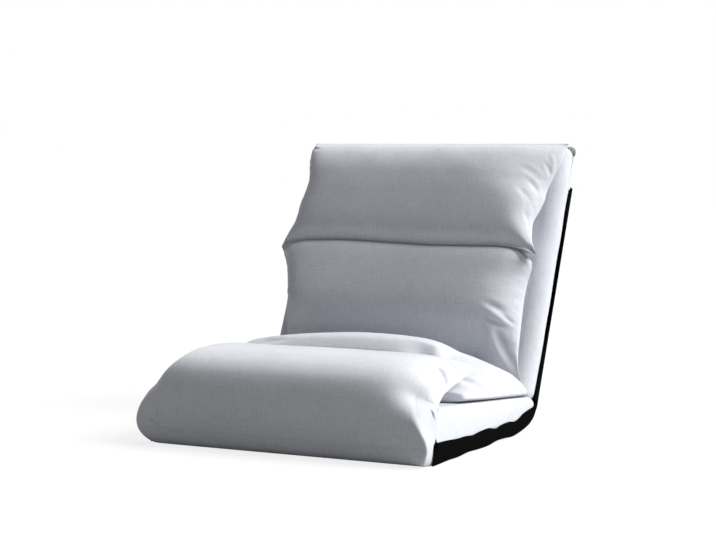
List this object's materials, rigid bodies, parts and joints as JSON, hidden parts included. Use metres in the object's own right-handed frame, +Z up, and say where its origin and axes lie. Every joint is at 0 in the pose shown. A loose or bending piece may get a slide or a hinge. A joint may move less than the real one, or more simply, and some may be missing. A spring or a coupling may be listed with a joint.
{
  "type": "folding floor chair",
  "caption": "Legless folding floor chair: padded seat and reclining back on a hidden tube frame with ratchet hinges, stuffed cushions, foot cushion folded back over the seat.",
  "frame": {"origin": "on the floor, under the middle of the chair's bounding box", "axes": "+X towards the sitter's left as they face forward, +Y towards the rear, +Z up"},
  "size_m": [0.636, 0.7732, 0.5852],
  "materials": {
    "pad_cover": "light grey linen-like weave",
    "black_cloth": "matt black woven cloth",
    "foam": "open-cell foam",
    "webbing": "woven webbing",
    "painted_tube": "satin black paint",
    "zinc_plated_steel": "zinc plated",
    "spring_steel": "oiled spring steel"
  },
  "bodies": {
    "seat": {"bottom_cloth": "black_cloth", "hinge_cloth": "black_cloth", "side_band_left": "black_cloth", "side_band_right": "black_cloth", "seat_core": "foam", "seat_pad": "pad_cover", "front_bolster": "pad_cover", "rear_seat_cushion": "pad_cover", "seat_front_tube": "painted_tube", "seat_cross_tube": "painted_tube", "seat_side_tube_left": "painted_tube", "seat_corner_tube_left": "painted_tube", "hinge_cheek_inner_left": "zinc_plated_steel", "hinge_cheek_outer_left": "zinc_plated_steel", "hinge_lower_arm_left": "zinc_plated_steel", "pivot_rivet_left": "zinc_plated_steel", "pawl_pin_left": "zinc_plated_steel", "cheek_rivet_upper_left": "zinc_plated_steel", "cheek_rivet_lower_left": "zinc_plated_steel", "seat_tube_rivet_left": "zinc_plated_steel", "pawl_spring_left": "spring_steel", "seat_side_tube_right": "painted_tube", "seat_corner_tube_right": "painted_tube", "hinge_cheek_inner_right": "zinc_plated_steel", "hinge_cheek_outer_right": "zinc_plated_steel", "hinge_lower_arm_right": "zinc_plated_steel", "pivot_rivet_right": "zinc_plated_steel", "pawl_pin_right": "zinc_plated_steel", "cheek_rivet_upper_right": "zinc_plated_steel", "cheek_rivet_lower_right": "zinc_plated_steel", "seat_tube_rivet_right": "zinc_plated_steel", "pawl_spring_right": "spring_steel"},
    "back": {"back_pad": "pad_cover", "back_core": "foam", "back_cloth": "black_cloth", "rear_flap": "pad_cover", "corner_ear_left": "pad_cover", "corner_ear_right": "pad_cover", "lumbar_cushion": "pad_cover", "head_cushion": "pad_cover", "back_top_tube": "painted_tube", "back_cross_tube": "painted_tube", "back_strap_1": "webbing", "back_strap_2": "webbing", "back_strap_3": "webbing", "back_strap_4": "webbing", "back_side_tube_left": "painted_tube", "back_corner_tube_left": "painted_tube", "hinge_upper_arm_left": "zinc_plated_steel", "back_tube_rivet_left": "zinc_plated_steel", "back_side_tube_right": "painted_tube", "back_corner_tube_right": "painted_tube", "hinge_upper_arm_right": "zinc_plated_steel", "back_tube_rivet_right": "zinc_plated_steel"},
    "foot": {"foot_cushion": "pad_cover"},
    "pawl_left": {"pawl_left": "spring_steel"},
    "pawl_right": {"pawl_right": "spring_steel"}
  },
  "joints": [
    {"name": "recline", "type": "hinge", "parent": "seat", "child": "back", "pos_m": [0, 0.11439, 0.03], "axis": [1, 0, 0], "range_deg": [-66, 84], "deforming": ["seat_pad", "seat_core", "rear_seat_cushion", "lumbar_cushion", "back_pad", "back_core", "hinge_cloth", "foot_cushion", "head_cushion", "back_cloth"]},
    {"name": "foot_fold", "type": "hinge", "parent": "seat", "child": "foot", "pos_m": [0, -0.38661, 0.104], "axis": [1, 0, 0], "range_deg": [0, 186]},
    {"name": "pawl_left_turn", "type": "hinge", "parent": "seat", "child": "pawl_left", "pos_m": [-0.262, 0.09039, 0.018], "axis": [1, 0, 0], "range_deg": [-12, 0], "stiffness_Nm_per_rad": 0.15, "springref_deg": 20.05, "deforming": ["pawl_spring_left"]},
    {"name": "pawl_right_turn", "type": "hinge", "parent": "seat", "child": "pawl_right", "pos_m": [0.262, 0.09039, 0.018], "axis": [1, 0, 0], "range_deg": [-12, 0], "stiffness_Nm_per_rad": 0.15, "springref_deg": 20.05, "deforming": ["pawl_spring_right"]}
  ]
}
